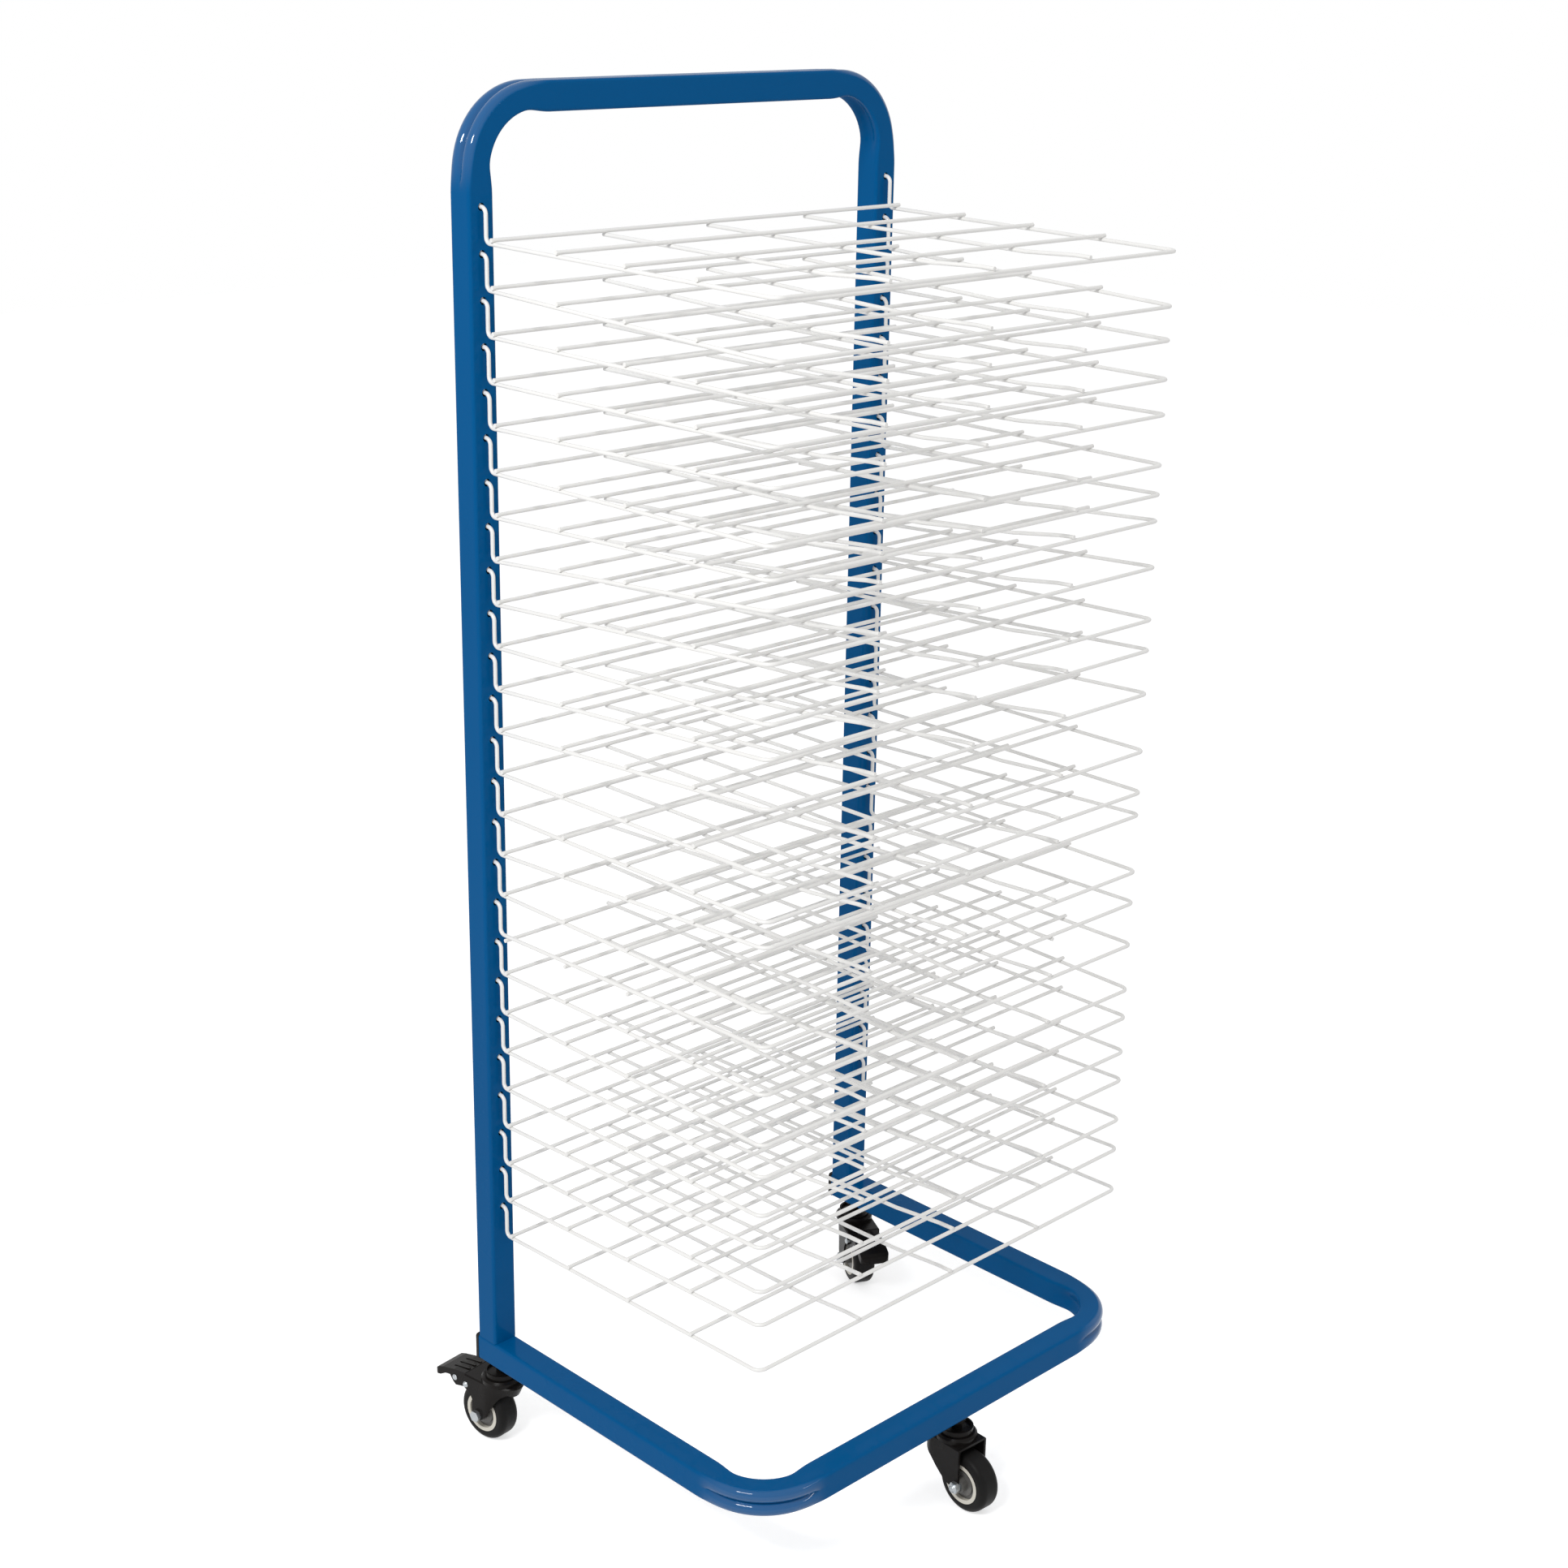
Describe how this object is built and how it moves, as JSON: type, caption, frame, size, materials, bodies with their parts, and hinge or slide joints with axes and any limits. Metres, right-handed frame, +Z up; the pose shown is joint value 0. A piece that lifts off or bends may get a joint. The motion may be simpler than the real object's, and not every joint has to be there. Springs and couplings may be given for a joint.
{
  "type": "art drying rack",
  "caption": "Mobile rack with hinged wire shelves on an upright tube frame, for drying sheets of artwork; it rolls on swivel casters, two of them with foot brakes.",
  "frame": {"origin": "on the floor under the middle of the rack's footprint", "axes": "+Z up; -Y is the side the shelves point to; +X is to the right of someone who looks along +Y at the open front of the shelves"},
  "size_m": [0.5131, 0.4776, 1.2426],
  "materials": {
    "frame_paint": "gloss blue powder coat",
    "shelf_paint": "gloss white coat on wire",
    "cap_plastic": "satin black",
    "caster_paint": "satin black",
    "tyre": "satin black",
    "hub": "cream",
    "zinc": "bright zinc plate"
  },
  "bodies": {
    "rack": {"upright_frame": "frame_paint", "base_frame": "frame_paint", "base_cap_left": "cap_plastic", "base_cap_right": "cap_plastic", "stem_weld_nuts": "zinc", "rear_left_stem": "caster_paint", "rear_left_swivel_balls": "zinc", "rear_right_stem": "caster_paint", "rear_right_swivel_balls": "zinc", "front_stem": "caster_paint", "front_swivel_balls": "zinc"},
    "shelf_01": {"shelf_01": "shelf_paint"},
    "shelf_02": {"shelf_02": "shelf_paint"},
    "shelf_03": {"shelf_03": "shelf_paint"},
    "shelf_04": {"shelf_04": "shelf_paint"},
    "shelf_05": {"shelf_05": "shelf_paint"},
    "shelf_06": {"shelf_06": "shelf_paint"},
    "shelf_07": {"shelf_07": "shelf_paint"},
    "shelf_08": {"shelf_08": "shelf_paint"},
    "shelf_09": {"shelf_09": "shelf_paint"},
    "shelf_10": {"shelf_10": "shelf_paint"},
    "shelf_11": {"shelf_11": "shelf_paint"},
    "shelf_12": {"shelf_12": "shelf_paint"},
    "shelf_13": {"shelf_13": "shelf_paint"},
    "shelf_14": {"shelf_14": "shelf_paint"},
    "shelf_15": {"shelf_15": "shelf_paint"},
    "shelf_16": {"shelf_16": "shelf_paint"},
    "shelf_17": {"shelf_17": "shelf_paint"},
    "shelf_18": {"shelf_18": "shelf_paint"},
    "shelf_19": {"shelf_19": "shelf_paint"},
    "shelf_20": {"shelf_20": "shelf_paint"},
    "shelf_21": {"shelf_21": "shelf_paint"},
    "shelf_22": {"shelf_22": "shelf_paint"},
    "shelf_23": {"shelf_23": "shelf_paint"},
    "shelf_24": {"shelf_24": "shelf_paint"},
    "shelf_25": {"shelf_25": "shelf_paint"},
    "rear_left_swivel": {"rear_left_fork": "caster_paint", "rear_left_axle_sleeve": "zinc", "rear_left_axle_bolt": "zinc", "rear_left_axle_nut": "zinc", "rear_left_pedal_rivets": "zinc", "rear_left_brake_spring": "zinc"},
    "rear_left_wheel": {"rear_left_tyre": "tyre", "rear_left_hub": "hub"},
    "rear_left_pedal": {"rear_left_brake_pedal": "caster_paint"},
    "rear_right_swivel": {"rear_right_fork": "caster_paint", "rear_right_axle_sleeve": "zinc", "rear_right_axle_bolt": "zinc", "rear_right_axle_nut": "zinc", "rear_right_pedal_rivets": "zinc", "rear_right_brake_spring": "zinc"},
    "rear_right_wheel": {"rear_right_tyre": "tyre", "rear_right_hub": "hub"},
    "rear_right_pedal": {"rear_right_brake_pedal": "caster_paint"},
    "front_swivel": {"front_fork": "caster_paint", "front_axle_sleeve": "zinc", "front_axle_bolt": "zinc", "front_axle_nut": "zinc"},
    "front_wheel": {"front_tyre": "tyre", "front_hub": "hub"}
  },
  "joints": [
    {"name": "shelf_01_hinge", "type": "hinge", "parent": "rack", "child": "shelf_01", "pos_m": [0, 0.15205, 1.1468], "axis": [-1, 0, 0], "range_deg": [0, 35]},
    {"name": "shelf_02_hinge", "type": "hinge", "parent": "rack", "child": "shelf_02", "pos_m": [0, 0.15205, 1.1096], "axis": [-1, 0, 0], "range_deg": [0, 6.4]},
    {"name": "shelf_03_hinge", "type": "hinge", "parent": "rack", "child": "shelf_03", "pos_m": [0, 0.15205, 1.0724], "axis": [-1, 0, 0], "range_deg": [0, 3.5]},
    {"name": "shelf_04_hinge", "type": "hinge", "parent": "rack", "child": "shelf_04", "pos_m": [0, 0.15205, 1.0352], "axis": [-1, 0, 0], "range_deg": [0, 4.3]},
    {"name": "shelf_05_hinge", "type": "hinge", "parent": "rack", "child": "shelf_05", "pos_m": [0, 0.15205, 0.998], "axis": [-1, 0, 0], "range_deg": [0, 3.8]},
    {"name": "shelf_06_hinge", "type": "hinge", "parent": "rack", "child": "shelf_06", "pos_m": [0, 0.15205, 0.9608], "axis": [-1, 0, 0], "range_deg": [0, 6]},
    {"name": "shelf_07_hinge", "type": "hinge", "parent": "rack", "child": "shelf_07", "pos_m": [0, 0.15205, 0.9236], "axis": [-1, 0, 0], "range_deg": [0, 3]},
    {"name": "shelf_08_hinge", "type": "hinge", "parent": "rack", "child": "shelf_08", "pos_m": [0, 0.15205, 0.8864], "axis": [-1, 0, 0], "range_deg": [0, 2.6]},
    {"name": "shelf_09_hinge", "type": "hinge", "parent": "rack", "child": "shelf_09", "pos_m": [0, 0.15205, 0.8492], "axis": [-1, 0, 0], "range_deg": [0, 5.6]},
    {"name": "shelf_10_hinge", "type": "hinge", "parent": "rack", "child": "shelf_10", "pos_m": [0, 0.15205, 0.812], "axis": [-1, 0, 0], "range_deg": [0, 6.6]},
    {"name": "shelf_11_hinge", "type": "hinge", "parent": "rack", "child": "shelf_11", "pos_m": [0, 0.15205, 0.7748], "axis": [-1, 0, 0], "range_deg": [0, 3.4]},
    {"name": "shelf_12_hinge", "type": "hinge", "parent": "rack", "child": "shelf_12", "pos_m": [0, 0.15205, 0.7376], "axis": [-1, 0, 0], "range_deg": [0, 5.4]},
    {"name": "shelf_13_hinge", "type": "hinge", "parent": "rack", "child": "shelf_13", "pos_m": [0, 0.15205, 0.7004], "axis": [-1, 0, 0], "range_deg": [0, 7.7]},
    {"name": "shelf_14_hinge", "type": "hinge", "parent": "rack", "child": "shelf_14", "pos_m": [0, 0.15205, 0.6632], "axis": [-1, 0, 0], "range_deg": [0, 5.2]},
    {"name": "shelf_15_hinge", "type": "hinge", "parent": "rack", "child": "shelf_15", "pos_m": [0, 0.15205, 0.626], "axis": [-1, 0, 0], "range_deg": [0, 2.3]},
    {"name": "shelf_16_hinge", "type": "hinge", "parent": "rack", "child": "shelf_16", "pos_m": [0, 0.15205, 0.5888], "axis": [-1, 0, 0], "range_deg": [0, 7.9]},
    {"name": "shelf_17_hinge", "type": "hinge", "parent": "rack", "child": "shelf_17", "pos_m": [0, 0.15205, 0.5516], "axis": [-1, 0, 0], "range_deg": [0, 4.3]},
    {"name": "shelf_18_hinge", "type": "hinge", "parent": "rack", "child": "shelf_18", "pos_m": [0, 0.15205, 0.5144], "axis": [-1, 0, 0], "range_deg": [0, 5.1]},
    {"name": "shelf_19_hinge", "type": "hinge", "parent": "rack", "child": "shelf_19", "pos_m": [0, 0.15205, 0.4772], "axis": [-1, 0, 0], "range_deg": [0, 6.2]},
    {"name": "shelf_20_hinge", "type": "hinge", "parent": "rack", "child": "shelf_20", "pos_m": [0, 0.15205, 0.44], "axis": [-1, 0, 0], "range_deg": [0, 3.4]},
    {"name": "shelf_21_hinge", "type": "hinge", "parent": "rack", "child": "shelf_21", "pos_m": [0, 0.15205, 0.4028], "axis": [-1, 0, 0], "range_deg": [0, 4.6]},
    {"name": "shelf_22_hinge", "type": "hinge", "parent": "rack", "child": "shelf_22", "pos_m": [0, 0.15205, 0.3656], "axis": [-1, 0, 0], "range_deg": [0, 3.6]},
    {"name": "shelf_23_hinge", "type": "hinge", "parent": "rack", "child": "shelf_23", "pos_m": [0, 0.15205, 0.3284], "axis": [-1, 0, 0], "range_deg": [0, 5.5]},
    {"name": "shelf_24_hinge", "type": "hinge", "parent": "rack", "child": "shelf_24", "pos_m": [0, 0.15205, 0.2912], "axis": [-1, 0, 0], "range_deg": [0, 3.9]},
    {"name": "shelf_25_hinge", "type": "hinge", "parent": "rack", "child": "shelf_25", "pos_m": [0, 0.15205, 0.254], "axis": [-1, 0, 0], "range_deg": [0, 5.8]},
    {"name": "rear_left_swivel_turn", "type": "hinge", "parent": "rack", "child": "rear_left_swivel", "pos_m": [-0.2318, 0.1629, 0.0664], "axis": [0, 0, 1], "continuous": true},
    {"name": "rear_left_wheel_spin", "type": "hinge", "parent": "rear_left_swivel", "child": "rear_left_wheel", "pos_m": [-0.2337, 0.17909, 0.0282], "axis": [0.9932, 0.1167, 0], "continuous": true},
    {"name": "rear_left_pedal_press", "type": "hinge", "parent": "rear_left_swivel", "child": "rear_left_pedal", "pos_m": [-0.23539, 0.19349, 0.0556], "axis": [-0.9932, -0.1167, 0], "range_deg": [0, 7.5]},
    {"name": "rear_right_swivel_turn", "type": "hinge", "parent": "rack", "child": "rear_right_swivel", "pos_m": [0.2382, 0.1563, 0.0664], "axis": [0, 0, 1], "continuous": true},
    {"name": "rear_right_wheel_spin", "type": "hinge", "parent": "rear_right_swivel", "child": "rear_right_wheel", "pos_m": [0.23055, 0.14191, 0.0282], "axis": [-0.8829, 0.4695, 0], "continuous": true},
    {"name": "rear_right_pedal_press", "type": "hinge", "parent": "rear_right_swivel", "child": "rear_right_pedal", "pos_m": [0.22374, 0.1291, 0.0556], "axis": [0.8829, -0.4695, 0], "range_deg": [0, 7.5]},
    {"name": "front_swivel_turn", "type": "hinge", "parent": "rack", "child": "front_swivel", "pos_m": [0.0124, -0.1912, 0.0664], "axis": [0, 0, 1], "continuous": true},
    {"name": "front_wheel_spin", "type": "hinge", "parent": "front_swivel", "child": "front_wheel", "pos_m": [0.01154, -0.21018, 0.0282], "axis": [-0.999, 0.0454, 0], "continuous": true}
  ]
}
